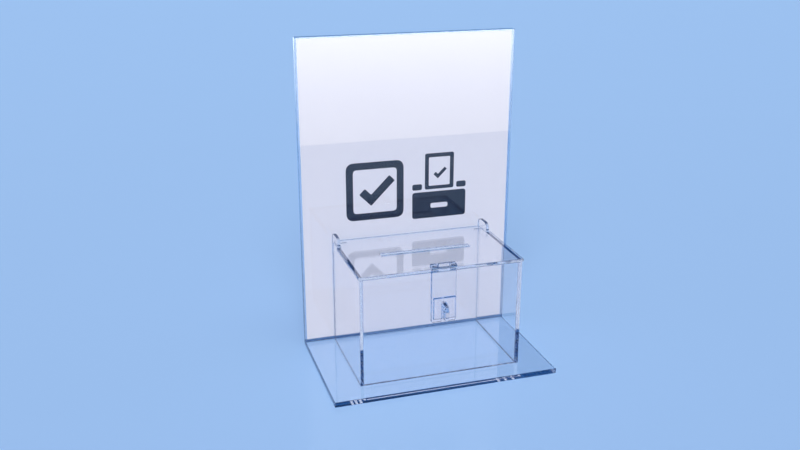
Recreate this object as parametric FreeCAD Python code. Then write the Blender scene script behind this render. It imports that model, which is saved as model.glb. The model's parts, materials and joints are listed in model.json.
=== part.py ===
import FreeCAD, Part
import math
import os

# Counter-top ballot box of clear acrylic sheet with an upright A4 poster holder.
# Millimetres, +Z up, +X to the right and +Y to the back as seen from the front.
# The origin is the middle of the base plate's footprint, on its underside.

# Sheet stock
SHEET = 3.0              # walls, lid, holder sheets, hasp, pad and tab
BASE_SHEET = 5.0         # base plate
EDGE_BREAK = 0.3         # chamfer on the base plate's and the lid's outer edges

# A4 insert and the pocket that holds it
PAPER_W = 210.0
PAPER_H = 297.0
PAPER_T = 0.3
PAPER_FACE_AIR = 0.35    # air between the insert and each sheet
PAPER_SIDE_AIR = 0.3     # air between the insert and each side strip
PAPER_FLOOR_AIR = 0.3    # air between the insert and the bottom strip
STRIP_W = 1.7            # width of a side strip
STRIP_H = 2.0            # height of the bottom strip
HOLDER_TOP_RIM = 1.7     # holder sheets above the insert's top edge

# Box, and the shelf that the base plate leaves in front of it
BOX_W = 155.0            # over the side walls
BOX_D = 102.0            # from the holder's front face to the front wall's face
WALL_H = 103.0           # wall height above the base plate
SHELF_D = 22.0

# Ears at the rear of the side walls
EAR_D = 22.0
EAR_RISE = 11.0          # above the wall's top edge
EAR_R = 6.0              # rounding of an ear's two top corners

# Lid
LID_SEAT_AIR = 0.3       # between the lid's underside and the walls
LID_SIDE_OVERHANG = 1.0
LID_FRONT_OVERHANG = 0.5
LID_BACK_AIR = 0.35      # between the lid's swinging rear corner and the back wall
LID_EAR_AIR = 0.4        # between the lid and an ear's inner face
LID_NOTCH_AIR = 0.36     # between the lid's swinging notch and an ear
SLOT_L = 88.0
SLOT_W = 6.0
SLOT_FROM_FRONT = 49.0   # slot's centre behind the front wall's face

# Hinge pins
PIN_D = 1.5
PIN_FIT = 0.05           # radial running clearance
LID_PIN_BITE = 8.0       # length of a lid pin inside the lid

# Hasp lugs on the lid's front edge
HASP_W = 23.5
LUG_W = 5.75
LUG_R = 2.5              # rounded nose about the hasp's axis
LUG_BACK = 4.8           # from the hasp's axis to a lug's rear face
LUG_AIR = 0.4            # between a lug and the hasp's tongue

# Hasp plate and pad
HASP_LID_AIR = 0.5       # between the lid's front edge and the hasp plate
HASP_DROP = 52.6         # from the hasp's axis to the plate's lower edge
HASP_HEEL = 4.0          # tongue above the hasp's axis
HASP_HEEL_AIR = 0.3      # between the raised hasp's heel and the lid
HASP_CORNER_R = 1.5
SHOULDER_AIR = 0.5       # between the lugs' noses and the plate's shoulders
PAD_W = 21.0
PAD_UP = 4.0             # pad's lower edge above the plate's lower edge
PAD_CROWN = 4.5          # pad above the notch

# Staple tab on the front wall, its padlock eye, and the notch that passes over it
TAB_UP = 4.0             # tab's lower edge above the hasp plate's lower edge
TAB_H = 14.5
TAB_R = 4.0              # rounding of the tab's two free corners
EYE_R = 2.2
EYE_PAD_AIR = 0.5        # between the closed hasp's pad and the eye
EYE_FRONT_WALL = 2.1     # tab left in front of the eye
EYE_TOP_WALL = 2.6       # tab left above the eye
NOTCH_SIDE_AIR = 0.8
NOTCH_TOP_AIR = 1.5

# Widths
pocket_w = PAPER_W + 2 * PAPER_SIDE_AIR
holder_w = pocket_w + 2 * STRIP_W
box_in_x = BOX_W / 2 - SHEET

# Depths, from the base plate's rear edge forwards
pocket_t = PAPER_T + 2 * PAPER_FACE_AIR
base_d = SHELF_D + BOX_D + SHEET + pocket_t + SHEET
holder_rear_y = base_d / 2
pocket_rear_y = holder_rear_y - SHEET
pocket_front_y = pocket_rear_y - pocket_t
box_rear_y = pocket_front_y - SHEET
box_front_y = box_rear_y - BOX_D
lid_axis_y = box_rear_y - EAR_D / 2
lid_front_y = box_front_y - LID_FRONT_OVERHANG
hasp_back_y = lid_front_y - HASP_LID_AIR
hasp_axis_y = hasp_back_y - SHEET / 2
pad_back_y = hasp_back_y - SHEET
pad_front_y = pad_back_y - SHEET
eye_y = pad_front_y - EYE_PAD_AIR - EYE_R
tab_front_y = eye_y - EYE_R - EYE_FRONT_WALL

# Heights
base_top = BASE_SHEET
pocket_floor = base_top + STRIP_H
paper_bottom = pocket_floor + PAPER_FLOOR_AIR
holder_top = paper_bottom + PAPER_H + HOLDER_TOP_RIM
wall_top = base_top + WALL_H
ear_top = wall_top + EAR_RISE
lid_bottom = wall_top + LID_SEAT_AIR
lid_top = lid_bottom + SHEET
lid_axis_z = lid_bottom + SHEET / 2
hasp_axis_z = lid_top + HASP_HEEL_AIR + SHEET / 2
hasp_bottom = hasp_axis_z - HASP_DROP
tab_bottom = hasp_bottom + TAB_UP
tab_top = tab_bottom + TAB_H
eye_z = tab_top - EYE_TOP_WALL - EYE_R
notch_top = tab_top + NOTCH_TOP_AIR

# Reach of the ear and of the lid's rear edge from the lid's axis
ear_r = min(EAR_R, EAR_D / 2.1, EAR_RISE)
ear_round_y = EAR_D / 2 - ear_r
ear_round_z = max(0, ear_top - ear_r - lid_axis_z)
ear_reach = math.hypot(ear_round_y, ear_round_z) + ear_r
lid_notch_y = lid_axis_y - ear_reach - LID_NOTCH_AIR
lid_swing_r = box_rear_y - SHEET - LID_BACK_AIR - lid_axis_y
lid_rear_y = lid_axis_y + math.sqrt(lid_swing_r ** 2 - (SHEET / 2) ** 2)

SAME = 1e-6              # places closer than this are the same


def box(x0, x1, y0, y1, z0, z1):
    """A block between two corners."""
    return Part.makeBox(x1 - x0, y1 - y0, z1 - z0, FreeCAD.Vector(x0, y0, z0))


def rod_x(x0, x1, y, z, radius):
    """A round rod along X."""
    start = FreeCAD.Vector(x0, y, z)
    return Part.makeCylinder(radius, x1 - x0, start, FreeCAD.Vector(1, 0, 0))


def edges_where(shape, test):
    """The shape's edges whose two ends both pass the test."""
    return [e for e in shape.Edges if all(test(v.Point) for v in e.Vertexes)]


def near(a, b):
    return abs(a - b) < SAME


def break_rims(shape, z0, z1):
    """Chamfer the outline edges that lie in the two flat faces at z0 and z1."""
    rims = edges_where(shape, lambda p: near(p.z, z0))
    rims += edges_where(shape, lambda p: near(p.z, z1))
    return shape.makeChamfer(EDGE_BREAK, rims)


def base_plate():
    plate = box(-holder_w / 2, holder_w / 2, -base_d / 2, base_d / 2, 0, base_top)
    return break_rims(plate, 0, base_top)


def holder_sheet(rear_y):
    return box(-holder_w / 2, holder_w / 2, rear_y - SHEET, rear_y, base_top, holder_top)


def side_strip(side):
    x0, x1 = sorted((side * pocket_w / 2, side * holder_w / 2))
    return box(x0, x1, pocket_front_y, pocket_rear_y, pocket_floor, holder_top)


def bottom_strip():
    half = holder_w / 2
    return box(-half, half, pocket_front_y, pocket_rear_y, base_top, pocket_floor)


def poster_sheet():
    front = pocket_front_y + PAPER_FACE_AIR
    half = PAPER_W / 2
    return box(-half, half, front, front + PAPER_T, paper_bottom, paper_bottom + PAPER_H)


def cross_wall(rear_y):
    """A wall between the two side walls."""
    return box(-box_in_x, box_in_x, rear_y - SHEET, rear_y, base_top, wall_top)


def side_wall(side):
    """A side wall with its ear and the ear's hole for the lid's pin."""
    x0, x1 = sorted((side * box_in_x, side * BOX_W / 2))
    wall = box(x0, x1, box_front_y, box_rear_y, base_top, wall_top)
    ear = box(x0, x1, box_rear_y - EAR_D, box_rear_y, base_top, ear_top)
    corners = edges_where(ear, lambda p: near(p.z, ear_top))
    corners = [e for e in corners if near(e.Vertexes[0].Y, e.Vertexes[1].Y)]
    wall = wall.fuse(ear.makeFillet(ear_r, corners)).removeSplitter()
    return wall.cut(rod_x(x0, x1, lid_axis_y, lid_axis_z, PIN_D / 2))


def lid_pin(side):
    """A pin from the ear's outer face into the lid's side edge."""
    x0, x1 = sorted((side * (box_in_x - LID_EAR_AIR - LID_PIN_BITE), side * BOX_W / 2))
    return rod_x(x0, x1, lid_axis_y, lid_axis_z, PIN_D / 2)


def lid_panel():
    """The lid: wide in front of the ears, narrow between them, with the voting slot."""
    half = BOX_W / 2 + LID_SIDE_OVERHANG
    rear_half = box_in_x - LID_EAR_AIR
    front = box(-half, half, lid_front_y, lid_notch_y, lid_bottom, lid_top)
    rear = box(-rear_half, rear_half, lid_notch_y, lid_rear_y, lid_bottom, lid_top)
    lid = break_rims(front.fuse(rear).removeSplitter(), lid_bottom, lid_top)
    slot_y = box_front_y + SLOT_FROM_FRONT
    slot = box(-SLOT_L / 2, SLOT_L / 2, slot_y - SLOT_W / 2, slot_y + SLOT_W / 2, lid_bottom, lid_top)
    lid = lid.cut(slot)
    bore_end = rear_half - LID_PIN_BITE - PIN_FIT
    for side in (-1, 1):
        x0, x1 = sorted((side * bore_end, side * rear_half))
        lid = lid.cut(rod_x(x0, x1, lid_axis_y, lid_axis_z, PIN_D / 2 + PIN_FIT))
    return lid


def hasp_lug(side):
    """A lug on the lid's front edge: flat on the lid, with a round nose about the hasp's axis."""
    x0, x1 = sorted((side * (HASP_W / 2 - LUG_W), side * HASP_W / 2))
    rear = hasp_axis_y + LUG_BACK
    lug = box(x0, x1, hasp_axis_y, rear, lid_top, hasp_axis_z + LUG_R)
    lug = lug.fuse(rod_x(x0, x1, hasp_axis_y, hasp_axis_z, LUG_R)).removeSplitter()
    lug = lug.cut(box(x0, x1, lid_front_y, rear, lid_bottom, lid_top))
    return lug.cut(rod_x(x0, x1, hasp_axis_y, hasp_axis_z, PIN_D / 2))


def hasp_pin():
    return rod_x(-HASP_W / 2, HASP_W / 2, hasp_axis_y, hasp_axis_z, PIN_D / 2)


def notch_cutter(y0, y1):
    """The notch over the staple tab: open below, with a round top."""
    half = SHEET / 2 + NOTCH_SIDE_AIR
    slot = box(-half, half, y0, y1, hasp_bottom, notch_top - half)
    centre = FreeCAD.Vector(0, y0, notch_top - half)
    return slot.fuse(Part.makeCylinder(half, y1 - y0, centre, FreeCAD.Vector(0, 1, 0)))


def hasp_plate():
    """The flap: a tongue between the lugs, shoulders under them and a notch below."""
    shoulder = hasp_axis_z - LUG_R - SHOULDER_AIR
    flap = box(-HASP_W / 2, HASP_W / 2, pad_back_y, hasp_back_y, hasp_bottom, shoulder)
    corners = edges_where(flap, lambda p: near(p.z, hasp_bottom))
    corners = [e for e in corners if near(e.Vertexes[0].X, e.Vertexes[1].X)]
    flap = flap.makeFillet(HASP_CORNER_R, corners)
    half = HASP_W / 2 - LUG_W - LUG_AIR
    tongue = box(-half, half, pad_back_y, hasp_back_y, shoulder, hasp_axis_z + HASP_HEEL)
    plate = flap.fuse(tongue).removeSplitter()
    plate = plate.cut(notch_cutter(pad_back_y, hasp_back_y))
    return plate.cut(rod_x(-half, half, hasp_axis_y, hasp_axis_z, PIN_D / 2 + PIN_FIT))


def hasp_pad():
    """The square piece on the front of the flap, notched like it."""
    half = PAD_W / 2
    pad = box(-half, half, pad_front_y, pad_back_y, hasp_bottom + PAD_UP, notch_top + PAD_CROWN)
    return pad.cut(notch_cutter(pad_front_y, pad_back_y))


def staple_tab():
    """The upright tab on the front wall, through the notch, with its padlock eye."""
    half = SHEET / 2
    tab = box(-half, half, tab_front_y, box_front_y, tab_bottom, tab_top)
    corners = edges_where(tab, lambda p: near(p.y, tab_front_y))
    corners = [e for e in corners if near(e.Vertexes[0].Z, e.Vertexes[1].Z)]
    tab = tab.makeFillet(min(TAB_R, TAB_H / 2.1), corners)
    return tab.cut(rod_x(-half, half, eye_y, eye_z, EYE_R))


def build():
    """Every piece under its node's name."""
    return {
        "base_plate": base_plate(),
        "holder_front": holder_sheet(pocket_front_y),
        "holder_back": holder_sheet(holder_rear_y),
        "strip_left": side_strip(-1),
        "strip_right": side_strip(1),
        "strip_bottom": bottom_strip(),
        "poster_sheet": poster_sheet(),
        "box_front": cross_wall(box_front_y + SHEET),
        "box_back": cross_wall(box_rear_y),
        "box_left": side_wall(-1),
        "box_right": side_wall(1),
        "lid_panel": lid_panel(),
        "lid_pin_left": lid_pin(-1),
        "lid_pin_right": lid_pin(1),
        "hasp_lug_left": hasp_lug(-1),
        "hasp_lug_right": hasp_lug(1),
        "hasp_pin": hasp_pin(),
        "hasp_plate": hasp_plate(),
        "hasp_pad": hasp_pad(),
        "staple_tab": staple_tab(),
    }


os.makedirs("parts", exist_ok=True)
for node, shape in build().items():
    solid, = shape.Solids
    solid.exportStep("parts/" + node + ".step")
    print(node, round(solid.Volume, 1))
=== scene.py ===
import json
import math

import bmesh
import bpy
import numpy as np
from bpy.props import FloatProperty, FloatVectorProperty, IntProperty, PointerProperty
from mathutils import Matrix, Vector


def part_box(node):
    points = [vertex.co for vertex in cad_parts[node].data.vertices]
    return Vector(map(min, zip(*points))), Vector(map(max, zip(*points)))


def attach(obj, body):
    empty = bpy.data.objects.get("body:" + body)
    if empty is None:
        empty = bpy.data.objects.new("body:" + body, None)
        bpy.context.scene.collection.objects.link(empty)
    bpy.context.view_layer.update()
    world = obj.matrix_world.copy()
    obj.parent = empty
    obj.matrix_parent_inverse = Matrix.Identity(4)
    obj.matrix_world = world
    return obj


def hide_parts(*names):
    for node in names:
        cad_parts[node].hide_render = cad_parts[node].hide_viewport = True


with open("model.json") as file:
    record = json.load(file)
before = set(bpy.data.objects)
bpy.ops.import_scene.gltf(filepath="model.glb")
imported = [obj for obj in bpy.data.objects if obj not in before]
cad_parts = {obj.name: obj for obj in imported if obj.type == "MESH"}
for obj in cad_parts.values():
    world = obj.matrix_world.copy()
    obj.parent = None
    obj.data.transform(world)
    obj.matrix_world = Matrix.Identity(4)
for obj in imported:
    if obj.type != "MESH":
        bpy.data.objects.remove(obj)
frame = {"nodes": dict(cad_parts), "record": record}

bl_info = {
    "name": "Acrylic Ballot Box",
    "version": (1, 0, 0),
    "blender": (4, 5, 0),
    "location": "View3D > Sidebar > Ballot Box",
    "description": "Clear acrylic ballot box with a poster holder, built round its packed frame",
    "category": "Object",
}

MM = 0.001
THIN_X, THIN_Y, THIN_Z = 0, 1, 2
LOW, HIGH = 0, 1
BODY_OF = {node: body for body, nodes in frame["record"]["behaviour"]["bodies"].items() for node in nodes}
# Each weld: the sheet whose face it is on, that face's axis and side, and the sheets cemented to it
WELDS = (
    ("base_plate", 2, HIGH, ("box_front", "box_back", "box_left", "box_right")),
    ("box_front", 0, LOW, ("box_left",)),
    ("box_front", 0, HIGH, ("box_right",)),
    ("box_back", 0, LOW, ("box_left",)),
    ("box_back", 0, HIGH, ("box_right",)),
    ("box_front", 1, LOW, ("staple_tab",)),
    ("holder_front", 1, HIGH, ("strip_left", "strip_right", "strip_bottom")),
    ("holder_back", 1, LOW, ("strip_left", "strip_right", "strip_bottom")),
    ("strip_bottom", 2, HIGH, ("strip_left", "strip_right")),
    ("lid_panel", 2, HIGH, ("hasp_lug_left", "hasp_lug_right")),
    ("lid_panel", 1, LOW, ("hasp_lug_left", "hasp_lug_right")),
    ("hasp_plate", 1, LOW, ("hasp_pad",)),
)
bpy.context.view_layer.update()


# Settings

class BallotSheetSettings(bpy.types.PropertyGroup):
    """Finish of the clear sheet and of its polished edges."""
    weld_air: FloatProperty(
        name="Weld air", description="Air left on each face that is bonded to another sheet",
        default=0.02 * MM, min=0, max=0.05 * MM, unit="LENGTH", precision=6)
    edge_round: FloatProperty(
        name="Edge round", description="Width of the polish on every sharp edge",
        default=0.25 * MM, min=0, max=0.6 * MM, unit="LENGTH", precision=6)
    tint: FloatVectorProperty(
        name="Face tint", description="Colour of light that crosses a face",
        default=(0.992, 0.994, 1.0), subtype="COLOR", min=0, max=1)
    edge_tint: FloatVectorProperty(
        name="Edge tint", description="Colour of light that crosses a polished edge",
        default=(0.85, 0.93, 1.0), subtype="COLOR", min=0, max=1)
    film: FloatVectorProperty(
        name="Film", description="Colour of light that crosses the cement between two sheets",
        default=(0.99, 0.99, 1.0), subtype="COLOR", min=0, max=1)
    refraction: FloatProperty(
        name="Refraction", description="Refractive index of cast acrylic", default=1.49, min=1, max=2,
        subtype="FACTOR")


class BallotSeamSettings(bpy.types.PropertyGroup):
    """The cement lines in the corners and the air caught in them."""
    bead_radius: FloatProperty(
        name="Bead radius", description="Radius of the cement line in a corner",
        default=0.22 * MM, min=0.05 * MM, max=1 * MM, unit="LENGTH", precision=6)
    bead_sides: IntProperty(
        name="Bead sides", description="Sides of the cement line", default=10, min=4, max=32, subtype="UNSIGNED")
    bubble_spacing: FloatProperty(
        name="Bubble spacing", description="Mean distance from one bubble to the next",
        default=6.0 * MM, min=1 * MM, max=50 * MM, unit="LENGTH", precision=5)
    bubble_small: FloatProperty(
        name="Smallest bubble", description="Radius of the smallest bubble",
        default=0.12 * MM, min=0.02 * MM, max=1 * MM, unit="LENGTH", precision=6)
    bubble_large: FloatProperty(
        name="Largest bubble", description="Radius of the largest bubble",
        default=0.3 * MM, min=0.02 * MM, max=1 * MM, unit="LENGTH", precision=6)
    seed: IntProperty(
        name="Seed", description="Places and sizes of the bubbles", default=11, min=0, subtype="UNSIGNED")
    cement: FloatVectorProperty(
        name="Cement", description="Colour of the cement where it is cloudy",
        default=(0.46, 0.43, 0.44), subtype="COLOR", min=0, max=1)
    cement_clear: FloatVectorProperty(
        name="Clear cement", description="Colour of light that crosses the cement where it is clear",
        default=(0.97, 0.97, 0.98), subtype="COLOR", min=0, max=1)
    # Painted glint: this near-white colour paints the bright reflection that a bubble of air shows; air has no colour
    # of its own
    air: FloatVectorProperty(
        name="Air", description="Colour of the bubbles' bright skin",
        default=(0.90, 0.93, 0.97), subtype="COLOR", min=0, max=1)


class BallotInsertSettings(bpy.types.PropertyGroup):
    """The card in the holder and the signs printed on it."""
    card: FloatVectorProperty(
        name="Card", description="Colour of the card", default=(0.86, 0.87, 0.90), subtype="COLOR", min=0, max=1)
    ink: FloatVectorProperty(
        name="Ink", description="Colour of the printed signs",
        default=(0.002, 0.006, 0.022), subtype="COLOR", min=0, max=1)
    sign_height: FloatProperty(
        name="Sign height", description="Height of the middle of the signs above the counter",
        default=156 * MM, min=60 * MM, max=260 * MM, unit="LENGTH")
    sign_size: FloatProperty(
        name="Sign size", description="Height of one sign", default=66 * MM, min=20 * MM, max=90 * MM, unit="LENGTH")
    sign_gap: FloatProperty(
        name="Sign gap", description="Room between the two signs", default=8 * MM, min=2 * MM, max=40 * MM,
        unit="LENGTH")
    ink_relief: FloatProperty(
        name="Ink relief", description="Thickness of the ink on the card", default=0.03 * MM, min=0.01 * MM,
        max=0.1 * MM, unit="LENGTH", precision=6)


class BallotPinSettings(bpy.types.PropertyGroup):
    """The steel hinge pins."""
    steel: FloatVectorProperty(
        name="Steel", description="Colour of the drawn wire", default=(0.62, 0.63, 0.65), subtype="COLOR",
        min=0, max=1)
    end_round: FloatProperty(
        name="End round", description="Length of the dome on each end of a pin",
        default=0.25 * MM, min=0.05 * MM, max=0.7 * MM, unit="LENGTH", precision=6)
    sides: IntProperty(
        name="Sides", description="Sides of a pin", default=32, min=8, max=128, subtype="UNSIGNED")


class BallotStageSettings(bpy.types.PropertyGroup):
    """Floor, room, lamps and camera."""
    floor: FloatVectorProperty(
        name="Floor", description="Colour of the floor", default=(0.38, 0.59, 0.88), subtype="COLOR", min=0, max=1)
    # Painted reflection: rays mirrored more than once, as in the edges of the clear sheets, see the floor in this
    # deep blue instead of its own pale colour
    painted_reflection_floor: FloatVectorProperty(
        name="Deep floor", description="Colour of the floor as it gathers in the edges of the clear sheets",
        default=(0.02, 0.29, 0.80), subtype="COLOR", min=0, max=1)
    # Painted shadow: this darker colour is painted on the floor next to the base plate, within the painted reflection
    # colour only
    shaded_floor: FloatVectorProperty(
        name="Shaded floor", description="Colour of the same in the shade beside the base plate",
        default=(0.003, 0.04, 0.14), subtype="COLOR", min=0, max=1)
    backdrop: FloatVectorProperty(
        name="Backdrop", description="Colour of the room behind the end of the floor",
        default=(0.33, 0.53, 0.86), subtype="COLOR", min=0, max=1)
    bounce: FloatVectorProperty(
        name="Bounce", description="Light that matt surfaces get from below and from the side",
        default=(0.66, 0.67, 0.84), subtype="COLOR", min=0, max=1)
    sky: FloatVectorProperty(
        name="Sky", description="Light that matt surfaces get from above",
        default=(0.35, 0.36, 0.42), subtype="COLOR", min=0, max=1)
    horizon: FloatVectorProperty(
        name="Horizon", description="Colour near the floor that the clear sheets show in their edges",
        default=(0.14, 0.44, 0.95), subtype="COLOR", min=0, max=1)
    ceiling: FloatVectorProperty(
        name="Ceiling", description="Colour of the unlit room above",
        default=(0.003, 0.045, 0.19), subtype="COLOR", min=0, max=1)
    floor_gloss: FloatProperty(
        name="Floor gloss", description="Share of light that the floor mirrors", default=0.05, min=0, max=1,
        subtype="FACTOR")
    key: FloatProperty(
        name="Key", description="Strength of the light from the front", default=1.15, min=0, subtype="UNSIGNED")
    top: FloatProperty(
        name="Top", description="Strength of the light from above", default=0.85, min=0, subtype="UNSIGNED")
    softness: FloatProperty(
        name="Softness", description="Angle across a lamp as the object sees it", default=math.radians(35),
        subtype="ANGLE")
    camera_place: FloatVectorProperty(
        name="Camera", description="Place of the camera", default=(-0.26417, -0.75816, 0.41521),
        subtype="TRANSLATION")
    camera_turn: FloatProperty(
        name="Camera turn", description="Turn of the view from straight back towards the right",
        default=math.radians(17.392), subtype="ANGLE")
    camera_dip: FloatProperty(
        name="Camera dip", description="Tilt of the view below the horizon",
        default=math.radians(19.087), subtype="ANGLE")
    lens: FloatProperty(name="Lens", description="Focal length", default=41.22, min=10, unit="CAMERA")


# Node helpers

def add_node(tree, kind, inputs=(), **fields):
    """A node with its fields set. inputs maps a socket to a value or to the socket that feeds it."""
    node = tree.nodes.new(kind)
    for name, value in fields.items():
        setattr(node, name, value)
    for name, value in dict(inputs).items():
        if isinstance(value, bpy.types.NodeSocket):
            tree.links.new(value, node.inputs[name])
        else:
            node.inputs[name].default_value = value
    return node


def empty_material(name):
    material = bpy.data.materials.new(name)
    material.use_nodes = True
    tree = material.node_tree
    tree.nodes.clear()
    return material, tree, tree.nodes.new("ShaderNodeOutputMaterial")


def object_noise(tree, scale, detail, low, high, stretch=(1, 1, 1)):
    """A smooth noise over the object's own coordinates, spread between two values."""
    place = add_node(tree, "ShaderNodeTexCoord").outputs["Object"]
    turned = add_node(tree, "ShaderNodeMapping", {"Vector": place, "Scale": stretch})
    noise = add_node(tree, "ShaderNodeTexNoise",
                     {"Vector": turned.outputs["Vector"], "Scale": scale, "Detail": detail})
    spread = add_node(tree, "ShaderNodeMapRange",
                      {"Value": noise.outputs["Fac"], "From Min": 0.3, "From Max": 0.7,
                       "To Min": low, "To Max": high})
    return spread.outputs["Result"]


# Materials

def clear_sheet(name, tint, grain, depth, dullness, settings):
    """Cast acrylic: clear to the camera, and open to the lamps for what stands behind it."""
    material, tree, output = empty_material(name)
    relief = add_node(tree, "ShaderNodeBump",
                      {"Height": object_noise(tree, *grain), "Strength": 0.12, "Distance": depth})
    body = add_node(tree, "ShaderNodeBsdfPrincipled",
                    {"Base Color": (*tint, 1), "Roughness": object_noise(tree, 60, 4, *dullness),
                     "IOR": settings.refraction, "Transmission Weight": 1.0,
                     "Normal": relief.outputs["Normal"]})
    through = add_node(tree, "ShaderNodeBsdfTransparent", {"Color": (*tint, 1)})
    ray = add_node(tree, "ShaderNodeLightPath").outputs
    lamp = add_node(tree, "ShaderNodeMath", {0: ray["Is Shadow Ray"], 1: ray["Is Diffuse Ray"]},
                    operation="MAXIMUM")
    both = add_node(tree, "ShaderNodeMixShader",
                    {"Fac": lamp.outputs[0], 1: body.outputs["BSDF"], 2: through.outputs["BSDF"]})
    tree.links.new(both.outputs["Shader"], output.inputs["Surface"])
    return material


def face_material(settings):
    """Flat faces, with the slow wave of a cast sheet."""
    return clear_sheet("clear_face", settings.tint, (14, 1, 0, 1), 0.004 * MM, (0, 0.006), settings)


def edge_material(settings):
    """Flame-polished edges, which keep a trace of the saw."""
    return clear_sheet("polished_edge", settings.edge_tint, (220, 2, 0, 1), 0.002 * MM, (0.04, 0.09),
                       settings)


def film_material(settings):
    """The film of cement between two sheets, through which light runs straight on."""
    material, tree, output = empty_material("weld_film")
    film = add_node(tree, "ShaderNodeBsdfTransparent", {"Color": (*settings.film, 1)})
    tree.links.new(film.outputs["BSDF"], output.inputs["Surface"])
    return material


def cement_material(settings):
    """Set cement: a thin dull skin, mostly clear and cloudier in places."""
    material, tree, output = empty_material("set_cement")
    skin = add_node(tree, "ShaderNodeBsdfPrincipled",
                    {"Base Color": (*settings.cement, 1), "Roughness": object_noise(tree, 700, 3, 0.3, 0.5)})
    through = add_node(tree, "ShaderNodeBsdfTransparent", {"Color": (*settings.cement_clear, 1)})
    both = add_node(tree, "ShaderNodeMixShader",
                    {"Fac": object_noise(tree, 160, 3, 0.05, 0.24), 1: through.outputs["BSDF"],
                     2: skin.outputs["BSDF"]})
    tree.links.new(both.outputs["Shader"], output.inputs["Surface"])
    return material


def bubble_material(settings):
    """Air caught in the cement, given a near-white colour as a painted glint for the bright reflection of a bubble,
    with a real gloss on top.
    """
    material, tree, output = empty_material("caught_air")
    body = add_node(tree, "ShaderNodeBsdfPrincipled",
                    {"Base Color": (*settings.air, 1), "Roughness": object_noise(tree, 900, 1, 0.04, 0.12),
                     "Specular IOR Level": 0.8})
    tree.links.new(body.outputs["BSDF"], output.inputs["Surface"])
    return material


def card_material(settings):
    """Matt white card with a short fibre."""
    material, tree, output = empty_material("white_card")
    fibre = add_node(tree, "ShaderNodeBump",
                     {"Height": object_noise(tree, 900, 3, 0, 1), "Strength": 0.15, "Distance": 0.05 * MM})
    shade = add_node(tree, "ShaderNodeMix",
                     {0: object_noise(tree, 120, 4, 0.0, 1.0), 6: (*settings.card, 1),
                      7: (*(c * 0.985 for c in settings.card), 1)}, data_type="RGBA")
    body = add_node(tree, "ShaderNodeBsdfPrincipled",
                    {"Base Color": shade.outputs[2], "Roughness": object_noise(tree, 300, 2, 0.45, 0.6),
                     "Normal": fibre.outputs["Normal"]})
    tree.links.new(body.outputs["BSDF"], output.inputs["Surface"])
    return material


def ink_material(settings):
    """Dark blue ink, laid a little unevenly."""
    material, tree, output = empty_material("dark_ink")
    shade = add_node(tree, "ShaderNodeMix",
                     {0: object_noise(tree, 500, 3, 0.0, 1.0), 6: (*settings.ink, 1),
                      7: (*(c * 1.25 for c in settings.ink), 1)}, data_type="RGBA")
    body = add_node(tree, "ShaderNodeBsdfPrincipled",
                    {"Base Color": shade.outputs[2], "Roughness": object_noise(tree, 300, 2, 0.35, 0.5)})
    tree.links.new(body.outputs["BSDF"], output.inputs["Surface"])
    return material


def steel_material(settings):
    """Bright wire with its drawing marks along it."""
    material, tree, output = empty_material("drawn_steel")
    body = add_node(tree, "ShaderNodeBsdfPrincipled",
                    {"Base Color": (*settings.steel, 1), "Metallic": 1.0,
                     "Roughness": object_noise(tree, 900, 2, 0.16, 0.32, (0.05, 1, 1))})
    tree.links.new(body.outputs["BSDF"], output.inputs["Surface"])
    return material


def finish_of(maker, settings):
    """The material that a maker gives, made once."""
    made = bpy.context.scene.get("ballot_finishes", {})
    name = made.get(maker.__name__)
    if name is None:
        name = maker(settings).name
        bpy.context.scene["ballot_finishes"] = {**dict(made), maker.__name__: name}
    return bpy.data.materials[name]


# Mesh helpers

def add_piece(name, mesh, materials, body):
    """A finished piece that rides on a body. A mesh that a geometry tree made has its material already."""
    piece = bpy.data.objects.new(name, mesh)
    bpy.context.scene.collection.objects.link(piece)
    for material in materials:
        mesh.materials.append(material)
    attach(piece, body)
    return piece


def inward_shift(vertex, air):
    """The move that takes a corner off every flat face round it by the same air."""
    normals = []
    for face in vertex.link_faces:
        if all(face.normal.dot(n) < 0.9999 for n in normals):
            normals.append(face.normal.copy())
    move = np.linalg.lstsq(np.array(normals), np.full(len(normals), -air), rcond=None)[0]
    return Vector(move)


def weld_windows(node):
    """The welds that a sheet has part in: the axis and height of the face, and its extent on the other axes."""
    windows = []
    for owner, axis, side, others in WELDS:
        for other in others:
            if node not in (owner, other):
                continue
            face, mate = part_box(owner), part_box(other)
            extent = {a: (max(face[LOW][a], mate[LOW][a]), min(face[HIGH][a], mate[HIGH][a]))
                      for a in range(3) if a != axis}
            windows.append((axis, face[side][axis], extent))
    return windows


def reaches(face, extent, slack):
    """Whether a face's corners reach into an extent on each of its axes."""
    return all(min(v.co[a] for v in face.verts) < high - slack and max(v.co[a] for v in face.verts) > low + slack
               for a, (low, high) in extent.items())


def within(face, extent, slack):
    """Whether every corner of a face lies in an extent."""
    return all(low - slack < v.co[a] < high + slack for v in face.verts for a, (low, high) in extent.items())


def mark_weld(form, axis, height, extent, ease):
    """Give the welded part of a face its film. A face that is larger is cut along the weld, eased off its rim."""
    slack = 0.001 * MM
    eased = {a: (low + ease, high - ease) for a, (low, high) in extent.items()}

    def level_faces():
        return [f for f in form.faces
                if abs(f.normal[axis]) > 0.999 and abs(f.verts[0].co[axis] - height) < slack]

    for a, bounds in eased.items():
        for bound in bounds:
            faces = [f for f in level_faces() if reaches(f, eased, slack) and not within(f, extent, slack)]
            place, way = Vector(), Vector()
            place[a], way[a] = bound, 1
            geometry = faces + list({e for f in faces for e in f.edges}) + list({v for f in faces for v in f.verts})
            bmesh.ops.bisect_plane(form, geom=geometry, dist=0.1 * slack, plane_co=place, plane_no=way)
            form.normal_update()
    for face in level_faces():
        if within(face, extent, slack) and reaches(face, eased, slack):
            face.material_index = 2


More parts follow.
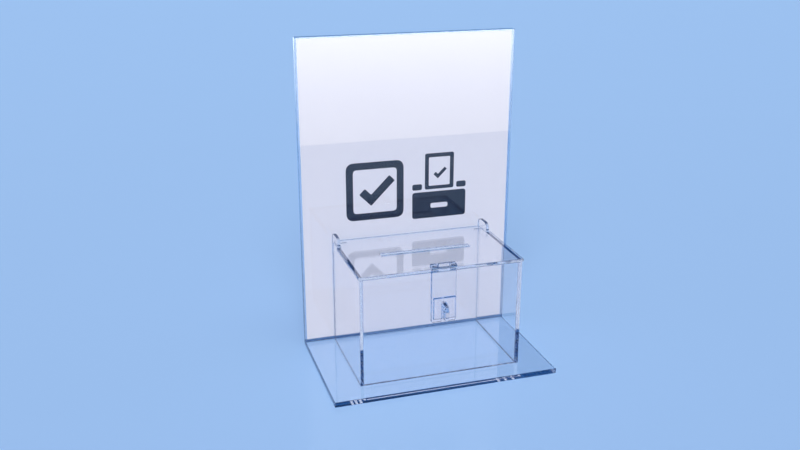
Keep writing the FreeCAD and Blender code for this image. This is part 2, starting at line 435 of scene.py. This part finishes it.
def sheet_piece(node, thin_axis, settings):
    """A clear piece in place of a CAD node: clear faces, polished edges and a film at each weld."""
    form = bmesh.new()
    form.from_mesh(frame["nodes"][node].data)
    bmesh.ops.remove_doubles(form, verts=form.verts, dist=0.001 * MM)
    bmesh.ops.dissolve_limit(form, angle_limit=math.radians(0.5), verts=form.verts, edges=form.edges)
    form.normal_update()
    for face in form.faces:
        turns = [edge.calc_face_angle(0) for edge in face.edges]
        face.smooth = any(math.radians(0.5) < turn < math.radians(30) for turn in turns)
        face.material_index = 0 if abs(face.normal[thin_axis]) > 0.9 else 1
    for axis, height, extent in weld_windows(node):
        mark_weld(form, axis, height, extent, settings.edge_round + settings.weld_air)
    form.normal_update()
    moves = [inward_shift(v, settings.weld_air) for v in form.verts]
    for vertex, move in zip(form.verts, moves):
        vertex.co += move
    mesh = bpy.data.meshes.new(node + "_sheet")
    form.to_mesh(mesh)
    form.free()
    finishes = [finish_of(maker, settings) for maker in (face_material, edge_material, film_material)]
    piece = add_piece(node + "_clear", mesh, finishes, BODY_OF[node])
    polish = piece.modifiers.new("polish", "BEVEL")
    polish.width = settings.edge_round
    polish.segments = 2
    polish.limit_method = "ANGLE"
    polish.angle_limit = math.radians(30)
    polish.material = 1
    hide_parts(node)
    return piece


def turned_pin(node, settings):
    """A pin turned about X, with a dome on each end, in place of a CAD pin."""
    low, high = (Vector(c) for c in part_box(node))
    middle = (low + high) / 2
    radius = (high.z - low.z) / 2
    steps = 5
    angles = [i / steps * math.pi / 2 for i in range(steps + 1)]
    left = [(low.x + settings.end_round * (1 - math.sin(a)), radius - settings.end_round * (1 - math.cos(a)))
            for a in reversed(angles)]
    right = [(high.x + low.x - x, r) for x, r in reversed(left)]
    form = bmesh.new()
    rings = []
    for x, r in left + right:
        rings.append([form.verts.new((x, middle.y + r * math.cos(t), middle.z + r * math.sin(t)))
                      for t in (i / settings.sides * math.tau for i in range(settings.sides))])
    for ring, following in zip(rings, rings[1:]):
        for i in range(settings.sides):
            j = (i + 1) % settings.sides
            form.faces.new((ring[i], following[i], following[j], ring[j]))
    form.faces.new(rings[0])
    form.faces.new(reversed(rings[-1]))
    bmesh.ops.recalc_face_normals(form, faces=form.faces)
    for face in form.faces:
        face.smooth = True
    mesh = bpy.data.meshes.new(node + "_turned")
    form.to_mesh(mesh)
    form.free()
    mesh.set_sharp_from_angle(angle=math.radians(40))
    piece = add_piece(node + "_wire", mesh, [finish_of(steel_material, settings)], BODY_OF[node])
    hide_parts(node)
    return piece


def plain_mesh(holder):
    """The evaluated mesh of a scene object, kept after the object is gone."""
    graph = bpy.context.evaluated_depsgraph_get()
    mesh = bpy.data.meshes.new_from_object(holder.evaluated_get(graph))
    bpy.data.objects.remove(holder)
    return mesh


# Geometry trees

def tree_socket(tree, name, kind, default=None):
    socket = tree.interface.new_socket(name, in_out="INPUT", socket_type="NodeSocket" + kind)
    if default is not None:
        socket.default_value = default
    return socket.identifier


def bead_tree():
    """Lays a round bead of cement along each edge of a mesh."""
    tree = bpy.data.node_groups.new("cement_bead", "GeometryNodeTree")
    ids = {name: tree_socket(tree, name, kind) for name, kind in
           (("Seams", "Geometry"), ("Radius", "Float"), ("Sides", "Int"), ("Finish", "Material"))}
    tree.interface.new_socket("Beads", in_out="OUTPUT", socket_type="NodeSocketGeometry")
    given = add_node(tree, "NodeGroupInput").outputs
    line = add_node(tree, "GeometryNodeMeshToCurve", {"Mesh": given["Seams"]})
    ring = add_node(tree, "GeometryNodeCurvePrimitiveCircle",
                    {"Radius": given["Radius"], "Resolution": given["Sides"]})
    bead = add_node(tree, "GeometryNodeCurveToMesh",
                    {"Curve": line.outputs["Curve"], "Profile Curve": ring.outputs["Curve"], "Fill Caps": True})
    real = add_node(tree, "GeometryNodeRealizeInstances", {"Geometry": bead.outputs["Mesh"]})
    coated = add_node(tree, "GeometryNodeSetMaterial",
                      {"Geometry": real.outputs["Geometry"], "Material": given["Finish"]})
    add_node(tree, "NodeGroupOutput", {"Beads": coated.outputs["Geometry"]})
    return tree, ids


def bubble_tree():
    """Strings small bubbles along each edge of a mesh, with random gaps and sizes."""
    tree = bpy.data.node_groups.new("seam_bubbles", "GeometryNodeTree")
    ids = {name: tree_socket(tree, name, kind) for name, kind in
           (("Seams", "Geometry"), ("Spacing", "Float"), ("Smallest", "Float"), ("Largest", "Float"),
            ("Seed", "Int"), ("Finish", "Material"))}
    tree.interface.new_socket("Bubbles", in_out="OUTPUT", socket_type="NodeSocketGeometry")
    given = add_node(tree, "NodeGroupInput").outputs
    line = add_node(tree, "GeometryNodeMeshToCurve", {"Mesh": given["Seams"]})
    points = add_node(tree, "GeometryNodeCurveToPoints",
                      {"Curve": line.outputs["Curve"], "Length": given["Spacing"]}, mode="LENGTH")
    back = add_node(tree, "ShaderNodeMath", {0: given["Spacing"], 1: -0.45}, operation="MULTIPLY")
    forth = add_node(tree, "ShaderNodeMath", {0: given["Spacing"], 1: 0.45}, operation="MULTIPLY")
    slip = add_node(tree, "FunctionNodeRandomValue",
                    {2: back.outputs[0], 3: forth.outputs[0], "Seed": given["Seed"]}, data_type="FLOAT")
    along = add_node(tree, "ShaderNodeVectorMath",
                     {0: points.outputs["Tangent"], "Scale": slip.outputs[1]}, operation="SCALE")
    moved = add_node(tree, "GeometryNodeSetPosition",
                     {"Geometry": points.outputs["Points"], "Offset": along.outputs[0]})
    ball = add_node(tree, "GeometryNodeMeshIcoSphere", {"Radius": 1.0, "Subdivisions": 2})
    size = add_node(tree, "FunctionNodeRandomValue",
                    {2: given["Smallest"], 3: given["Largest"], "Seed": given["Seed"]}, data_type="FLOAT")
    strung = add_node(tree, "GeometryNodeInstanceOnPoints",
                      {"Points": moved.outputs["Geometry"], "Instance": ball.outputs["Mesh"],
                       "Scale": size.outputs[1]})
    real = add_node(tree, "GeometryNodeRealizeInstances", {"Geometry": strung.outputs["Instances"]})
    coated = add_node(tree, "GeometryNodeSetMaterial",
                      {"Geometry": real.outputs["Geometry"], "Material": given["Finish"]})
    add_node(tree, "NodeGroupOutput", {"Bubbles": coated.outputs["Geometry"]})
    return tree, ids


def grown_mesh(name, source, tree, values):
    """The plain mesh that a geometry tree makes from a source mesh. values maps socket identifiers."""
    holder = bpy.data.objects.new(name, source)
    bpy.context.scene.collection.objects.link(holder)
    grow = holder.modifiers.new(name, "NODES")
    grow.node_group = tree
    for identifier, value in values.items():
        grow[identifier] = value
    return plain_mesh(holder)


# Signs on the card

def rounded_loop(corners, radius, steps=6):
    """A closed outline whose corners are eased by a curve."""
    points = []
    for before, here, after in zip(corners[-1:] + corners[:-1], corners, corners[1:] + corners[:1]):
        here = Vector(here)
        start = here + (Vector(before) - here).normalized() * radius
        end = here + (Vector(after) - here).normalized() * radius
        for step in range(steps + 1):
            t = step / steps
            points.append(start * (1 - t) ** 2 + here * 2 * t * (1 - t) + end * t ** 2)
    return points


def block_loop(left, bottom, right, top, radius):
    return rounded_loop([(left, bottom), (right, bottom), (right, top), (left, top)], radius)


def tick_loop(x, y, long_arm, short_arm, width, radius):
    """A tick whose lower corner is at x, y."""
    along = Vector((1, 1)).normalized()
    across = Vector((-1, 1)).normalized()
    corners = [(0, 0), (long_arm, 0), (long_arm, width), (width, width), (width, short_arm), (0, short_arm)]
    return rounded_loop([tuple(Vector((x, y)) + along * u + across * v) for u, v in corners], radius)


def sign_outlines(settings):
    """Outlines of the two signs, a ticked square and a box that takes a slip, about their own middle."""
    unit = settings.sign_size / 66
    half_gap = settings.sign_gap / unit / 2
    left = -half_gap - 58
    outlines = [
        block_loop(left, -29, left + 58, 29, 8),
        block_loop(left + 7, -22, left + 51, 22, 4),
        tick_loop(left + 25, -15, 34, 17, 8, 1.2),
    ]
    middle = half_gap + 29
    outlines += [
        block_loop(middle - 28, -33, middle + 28, -6, 3),
        block_loop(middle - 28, -3.5, middle - 18, 2.5, 2),
        block_loop(middle + 18, -3.5, middle + 28, 2.5, 2),
        block_loop(middle - 15, -3.5, middle + 15, 33, 2),
        block_loop(middle - 11, 0, middle + 11, 29, 1),
        tick_loop(middle - 1.5, 7, 13, 6.5, 3.2, 0.5),
        block_loop(middle - 9, -23, middle + 9, -18, 2),
    ]
    return [[point * unit for point in outline] for outline in outlines]


def print_mesh(settings, face_y):
    """The printed signs as a thin relief on the front of the card."""
    curve = bpy.data.curves.new("signs", "CURVE")
    curve.dimensions = "2D"
    curve.fill_mode = "BOTH"
    curve.extrude = settings.ink_relief / 2
    for outline in sign_outlines(settings):
        spline = curve.splines.new("POLY")
        spline.points.add(len(outline) - 1)
        spline.use_cyclic_u = True
        for point, place in zip(spline.points, outline):
            point.co = (place.x, place.y, 0, 1)
    holder = bpy.data.objects.new("signs", curve)
    bpy.context.scene.collection.objects.link(holder)
    bpy.context.view_layer.update()
    mesh = plain_mesh(holder)
    bpy.data.curves.remove(curve)
    for vertex in mesh.vertices:
        x, y, z = vertex.co
        vertex.co = (x, face_y - z, settings.sign_height + y)
    return mesh


# Operators

class BALLOT_OT_stage(bpy.types.Operator):
    """Lay the floor, hang the lamps and set the camera"""
    bl_idname = "ballot.stage"
    bl_label = "Stage"
    bl_options = {"REGISTER", "UNDO"}

    def execute(self, context):
        settings = context.scene.ballot_stage
        lay_floor(settings)
        light_room(context.scene, settings)
        set_camera(context.scene, settings)
        return {"FINISHED"}


class BALLOT_OT_base(bpy.types.Operator):
    """Make the base plate"""
    bl_idname = "ballot.base"
    bl_label = "Base Plate"
    bl_options = {"REGISTER", "UNDO"}

    def execute(self, context):
        sheet_piece("base_plate", THIN_Z, context.scene.ballot_sheet)
        return {"FINISHED"}


class BALLOT_OT_walls(bpy.types.Operator):
    """Make the four walls of the box"""
    bl_idname = "ballot.walls"
    bl_label = "Box Walls"
    bl_options = {"REGISTER", "UNDO"}

    def execute(self, context):
        settings = context.scene.ballot_sheet
        for node, axis in (("box_front", THIN_Y), ("box_back", THIN_Y), ("box_left", THIN_X), ("box_right", THIN_X)):
            sheet_piece(node, axis, settings)
        return {"FINISHED"}


class BALLOT_OT_holder(bpy.types.Operator):
    """Make the two sheets of the holder and the strips that keep them apart"""
    bl_idname = "ballot.holder"
    bl_label = "Poster Holder"
    bl_options = {"REGISTER", "UNDO"}

    def execute(self, context):
        settings = context.scene.ballot_sheet
        for node in ("holder_front", "holder_back", "strip_left", "strip_right", "strip_bottom"):
            sheet_piece(node, THIN_Y, settings)
        return {"FINISHED"}


class BALLOT_OT_lid(bpy.types.Operator):
    """Make the slotted lid and the lugs that carry the hasp"""
    bl_idname = "ballot.lid"
    bl_label = "Lid"
    bl_options = {"REGISTER", "UNDO"}

    def execute(self, context):
        settings = context.scene.ballot_sheet
        sheet_piece("lid_panel", THIN_Z, settings)
        for node in ("hasp_lug_left", "hasp_lug_right"):
            sheet_piece(node, THIN_X, settings)
        return {"FINISHED"}


class BALLOT_OT_hasp(bpy.types.Operator):
    """Make the hasp and the staple tab that it closes over"""
    bl_idname = "ballot.hasp"
    bl_label = "Hasp and Staple"
    bl_options = {"REGISTER", "UNDO"}

    def execute(self, context):
        settings = context.scene.ballot_sheet
        sheet_piece("hasp_plate", THIN_Y, settings)
        sheet_piece("hasp_pad", THIN_Y, settings)
        sheet_piece("staple_tab", THIN_X, settings)
        return {"FINISHED"}


class BALLOT_OT_pins(bpy.types.Operator):
    """Turn the steel hinge pins"""
    bl_idname = "ballot.pins"
    bl_label = "Hinge Pins"
    bl_options = {"REGISTER", "UNDO"}

    def execute(self, context):
        for node in ("lid_pin_left", "lid_pin_right", "hasp_pin"):
            turned_pin(node, context.scene.ballot_pins)
        return {"FINISHED"}


class BALLOT_OT_seams(bpy.types.Operator):
    """Run the cement lines along the corners, with the air caught in them"""
    bl_idname = "ballot.seams"
    bl_label = "Cement Seams"
    bl_options = {"REGISTER", "UNDO"}

    def execute(self, context):
        settings = context.scene.ballot_seam
        gap = settings.bead_radius + 2 * context.scene.ballot_sheet.weld_air
        foot, corner = seam_lines(gap)
        beads, ids = bead_tree()
        mesh = grown_mesh("cement_beads", line_mesh("seams", foot + corner), beads,
                          {ids["Radius"]: settings.bead_radius, ids["Sides"]: settings.bead_sides,
                           ids["Finish"]: finish_of(cement_material, settings)})
        add_piece("cement_beads", mesh, (), "stand")
        bubbles, ids = bubble_tree()
        rim = settings.bubble_spacing / 2 + settings.bubble_large
        mesh = grown_mesh("seam_bubbles", line_mesh("seam_feet", shortened(foot, rim)), bubbles,
                          {ids["Spacing"]: settings.bubble_spacing, ids["Smallest"]: settings.bubble_small,
                           ids["Largest"]: settings.bubble_large, ids["Seed"]: settings.seed,
                           ids["Finish"]: finish_of(bubble_material, settings)})
        add_piece("seam_bubbles", mesh, (), "stand")
        return {"FINISHED"}


class BALLOT_OT_insert(bpy.types.Operator):
    """Finish the card and print its signs"""
    bl_idname = "ballot.insert"
    bl_label = "Card and Signs"
    bl_options = {"REGISTER", "UNDO"}

    def execute(self, context):
        settings = context.scene.ballot_insert
        for slot in frame["nodes"]["poster_sheet"].material_slots:
            slot.material = finish_of(card_material, settings)
        face_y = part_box("poster_sheet")[0][1] - settings.ink_relief
        add_piece("insert_signs", print_mesh(settings, face_y), [finish_of(ink_material, settings)],
                  "insert")
        return {"FINISHED"}


class BALLOT_PT_sidebar(bpy.types.Panel):
    """Pieces of the ballot box and their sizes and colours"""
    bl_idname = "BALLOT_PT_sidebar"
    bl_label = "Ballot Box"
    bl_space_type = "VIEW_3D"
    bl_region_type = "UI"
    bl_category = "Ballot Box"

    def draw(self, context):
        for operator in OPERATORS:
            self.layout.operator(operator.bl_idname)
        for pointer, group in POINTERS.items():
            box = self.layout.box()
            box.label(text=group.__doc__)
            for name in group.__annotations__:
                box.prop(getattr(context.scene, pointer), name)


# Seams and stage

def line_mesh(name, lines):
    """A mesh of loose straight edges."""
    points = [p for line in lines for p in line]
    mesh = bpy.data.meshes.new(name)
    mesh.from_pydata(points, [(i, i + 1) for i in range(0, len(points), 2)], [])
    return mesh


def shortened(lines, rim):
    """The lines with each end drawn in."""
    drawn = []
    for start, end in lines:
        way = (Vector(end) - Vector(start)).normalized() * rim
        drawn.append((Vector(start) + way, Vector(end) - way))
    return drawn


def seam_lines(gap):
    """The welds along the feet of the walls and up the inside corners, held off the sheets by a gap."""
    base_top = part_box("base_plate")[1][2] + gap
    left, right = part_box("box_left"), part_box("box_right")
    front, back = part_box("box_front"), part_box("box_back")
    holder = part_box("holder_front")
    out_x = (left[0][0] - gap, right[1][0] + gap)
    in_x = (left[1][0] + gap, right[0][0] - gap)
    out_y = front[0][1] - gap
    in_y = (front[1][1] + gap, back[0][1] - gap)
    holder_y = holder[0][1] - gap
    foot = [((left[0][0], out_y, base_top), (right[1][0], out_y, base_top))]
    foot += [((in_x[0], y, base_top), (in_x[1], y, base_top)) for y in in_y]
    foot += [((x, in_y[0], base_top), (x, in_y[1], base_top)) for x in in_x]
    foot += [((x, front[0][1], base_top), (x, holder_y, base_top)) for x in out_x]
    foot += [((holder[0][0], holder_y, base_top), (out_x[0], holder_y, base_top)),
             ((out_x[1], holder_y, base_top), (holder[1][0], holder_y, base_top))]
    wall_top = front[1][2]
    corner = [((x, y, base_top), (x, y, wall_top)) for x in in_x for y in in_y]
    return foot, corner


def stage_sheet(name, corners, material):
    mesh = bpy.data.meshes.new(name)
    mesh.from_pydata(corners, [], [(0, 1, 2, 3)])
    mesh.materials.append(material)
    sheet = bpy.data.objects.new(name, mesh)
    bpy.context.scene.collection.objects.link(sheet)
    return sheet


def lay_floor(settings):
    """A matt pale floor that mirrors a small, even share of what stands on it. To rays mirrored more than once it
    shows a painted reflection colour, deep blue, darkened by a painted shadow beside the base plate.
    """
    material, tree, output = empty_material("pale_floor")
    # Painted reflection: after more than one mirroring the floor shows a painted deep blue, with a painted shadow
    # beside the base plate
    turns = add_node(tree, "ShaderNodeLightPath").outputs["Glossy Depth"]
    painted_reflection_mask = add_node(tree, "ShaderNodeMath", {0: turns, 1: 1.5}, operation="GREATER_THAN")
    half_x, half_y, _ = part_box("base_plate")[1]
    place = add_node(tree, "ShaderNodeTexCoord").outputs["Object"]
    folded = add_node(tree, "ShaderNodeVectorMath", {0: place}, operation="ABSOLUTE")
    beyond = add_node(tree, "ShaderNodeVectorMath", {0: folded.outputs[0], 1: (half_x, half_y, 0)},
                      operation="SUBTRACT")
    outside = add_node(tree, "ShaderNodeVectorMath", {0: beyond.outputs[0], 1: (0, 0, 0)}, operation="MAXIMUM")
    away = add_node(tree, "ShaderNodeVectorMath", {0: outside.outputs[0]}, operation="LENGTH")
    # Painted shadow: the painted reflection colour darkens towards the base plate, from 30 mm out to 4 mm from it
    clear_of_painted_shadow = add_node(tree, "ShaderNodeMapRange", {"Value": away.outputs["Value"], "From Min": 4 * MM,
                                                "From Max": 30 * MM}, interpolation_type="SMOOTHSTEP")
    deep = add_node(tree, "ShaderNodeMix", {0: clear_of_painted_shadow.outputs["Result"], 6: (*settings.shaded_floor, 1),
                                            7: (*settings.painted_reflection_floor, 1)}, data_type="RGBA")
    colour = add_node(tree, "ShaderNodeMix", {0: painted_reflection_mask.outputs[0], 6: (*settings.floor, 1),
                                              7: deep.outputs[2]}, data_type="RGBA")
    matt = add_node(tree, "ShaderNodeBsdfDiffuse", {"Color": colour.outputs[2], "Roughness": 0.4})
    gloss = add_node(tree, "ShaderNodeBsdfGlossy", {"Roughness": object_noise(tree, 3, 2, 0.14, 0.2)})
    both = add_node(tree, "ShaderNodeMixShader",
                    {"Fac": settings.floor_gloss, 1: matt.outputs[0], 2: gloss.outputs[0]})
    tree.links.new(both.outputs[0], output.inputs["Surface"])
    reach, drop = 20.0, -0.1 * MM
    floor = stage_sheet("floor", [(-reach, -reach, drop), (reach, -reach, drop), (reach, reach, drop),
                                  (-reach, reach, drop)], material)
    floor.visible_diffuse = False


def light_room(scene, settings):
    """A room that is pale near the floor and unlit above, two soft lamps, and a glowing board in front that shows
    only in mirrored rays, a painted reflection.
    """
    world = bpy.data.worlds.new("room")
    scene.world = world
    world.use_nodes = True
    tree = world.node_tree
    tree.nodes.clear()
    way = add_node(tree, "ShaderNodeTexCoord").outputs["Generated"]
    height = add_node(tree, "ShaderNodeSeparateXYZ", {0: way}).outputs["Z"]
    ray = add_node(tree, "ShaderNodeLightPath").outputs
    matt = ray["Is Diffuse Ray"]
    low_part = add_node(tree, "ShaderNodeMix", {0: matt, 6: (*settings.horizon, 1),
                                                7: (*settings.bounce, 1)}, data_type="RGBA")
    ramp = add_node(tree, "ShaderNodeMapRange", {"Value": height, "From Min": 0.06, "From Max": 0.34},
                    interpolation_type="SMOOTHSTEP")
    high_part = add_node(tree, "ShaderNodeMix", {0: matt, 6: (*settings.ceiling, 1),
                                                 7: (*settings.sky, 1)}, data_type="RGBA")
    colour = add_node(tree, "ShaderNodeMix", {0: ramp.outputs["Result"], 6: low_part.outputs[2],
                                              7: high_part.outputs[2]}, data_type="RGBA")
    turned = add_node(tree, "ShaderNodeMath", {0: ray["Glossy Depth"], 1: matt}, operation="MAXIMUM")
    straight = add_node(tree, "ShaderNodeMath", {0: turned.outputs[0], 1: 0.5}, operation="LESS_THAN")
    room = add_node(tree, "ShaderNodeMix", {0: straight.outputs[0], 6: colour.outputs[2],
                                            7: (*settings.backdrop, 1)}, data_type="RGBA")
    glow = add_node(tree, "ShaderNodeBackground", {"Color": room.outputs[2], "Strength": 1.0})
    add_node(tree, "ShaderNodeOutputWorld", {"Surface": glow.outputs[0]})
    for name, direction, strength in (("key", (-0.25, -0.72, 0.65), settings.key),
                                      ("top", (0.1, -0.1, 1.0), settings.top)):
        lamp = bpy.data.lights.new(name, "SUN")
        lamp.energy = strength
        lamp.angle = settings.softness
        holder = bpy.data.objects.new(name, lamp)
        holder.rotation_euler = Vector(direction).to_track_quat("Z", "Y").to_euler()
        scene.collection.objects.link(holder)
        holder.visible_glossy = False
        holder.visible_transmission = False
    # Painted reflection: a glowing board on the floor in front, seen only in mirrored rays and hidden from camera,
    # matt and shadow rays; it glows brighter further away
    material, tree, output = empty_material("reflection_glow_board")
    place = add_node(tree, "ShaderNodeTexCoord").outputs["Object"]
    away = add_node(tree, "ShaderNodeSeparateXYZ", {0: place}).outputs["Y"]
    rise = add_node(tree, "ShaderNodeMapRange", {"Value": away, "From Min": -0.74, "From Max": -2.4,
                                                 "To Min": 1.6, "To Max": 4.8})
    board_glow = add_node(tree, "ShaderNodeEmission", {"Strength": rise.outputs["Result"]})
    under = add_node(tree, "ShaderNodeNewGeometry").outputs["Backfacing"]
    turns = add_node(tree, "ShaderNodeLightPath").outputs["Glossy Depth"]
    mirrored = add_node(tree, "ShaderNodeMath", {0: turns, 1: 0.5}, operation="GREATER_THAN")
    shown = add_node(tree, "ShaderNodeMath", {0: mirrored.outputs[0], 1: under}, operation="SUBTRACT", use_clamp=True)
    open_air = add_node(tree, "ShaderNodeBsdfTransparent")
    both = add_node(tree, "ShaderNodeMixShader", {"Fac": shown.outputs[0], 1: open_air.outputs[0],
                                                  2: board_glow.outputs[0]})
    tree.links.new(both.outputs[0], output.inputs["Surface"])
    lift = 2 * MM
    board = stage_sheet("board", [(-2.5, -5.0, lift), (2.5, -5.0, lift), (2.5, -0.74, lift),
                                  (-2.5, -0.74, lift)], material)
    board.visible_camera = False
    board.visible_diffuse = False
    board.visible_shadow = False


def set_camera(scene, settings):
    camera = bpy.data.cameras.new("camera")
    camera.lens = settings.lens
    camera.sensor_width = 36
    camera.clip_end = 200
    eye = bpy.data.objects.new("camera", camera)
    eye.location = settings.camera_place
    eye.rotation_euler = (math.pi / 2 - settings.camera_dip, 0, -settings.camera_turn)
    scene.collection.objects.link(eye)
    scene.camera = eye
    scene.view_settings.view_transform = "Standard"
    scene.cycles.max_bounces = 128
    scene.cycles.transmission_bounces = 128
    scene.cycles.glossy_bounces = 128
    scene.cycles.transparent_max_bounces = 48


# Registration

POINTERS = {
    "ballot_sheet": BallotSheetSettings, "ballot_seam": BallotSeamSettings, "ballot_insert": BallotInsertSettings,
    "ballot_pins": BallotPinSettings, "ballot_stage": BallotStageSettings,
}
OPERATORS = (BALLOT_OT_stage, BALLOT_OT_base, BALLOT_OT_walls, BALLOT_OT_holder, BALLOT_OT_lid, BALLOT_OT_hasp,
             BALLOT_OT_pins, BALLOT_OT_seams, BALLOT_OT_insert)


def register():
    for group in POINTERS.values():
        bpy.utils.register_class(group)
    for operator in OPERATORS:
        bpy.utils.register_class(operator)
    bpy.utils.register_class(BALLOT_PT_sidebar)
    for pointer, group in POINTERS.items():
        setattr(bpy.types.Scene, pointer, PointerProperty(type=group))


def unregister():
    for pointer in POINTERS:
        delattr(bpy.types.Scene, pointer)
    bpy.utils.unregister_class(BALLOT_PT_sidebar)
    for operator in reversed(OPERATORS):
        bpy.utils.unregister_class(operator)
    for group in reversed(POINTERS.values()):
        bpy.utils.unregister_class(group)


def main():
    register()
    for operator in OPERATORS:
        getattr(bpy.ops.ballot, operator.bl_idname.split(".")[1])()


if __name__ == "__main__":
    main()
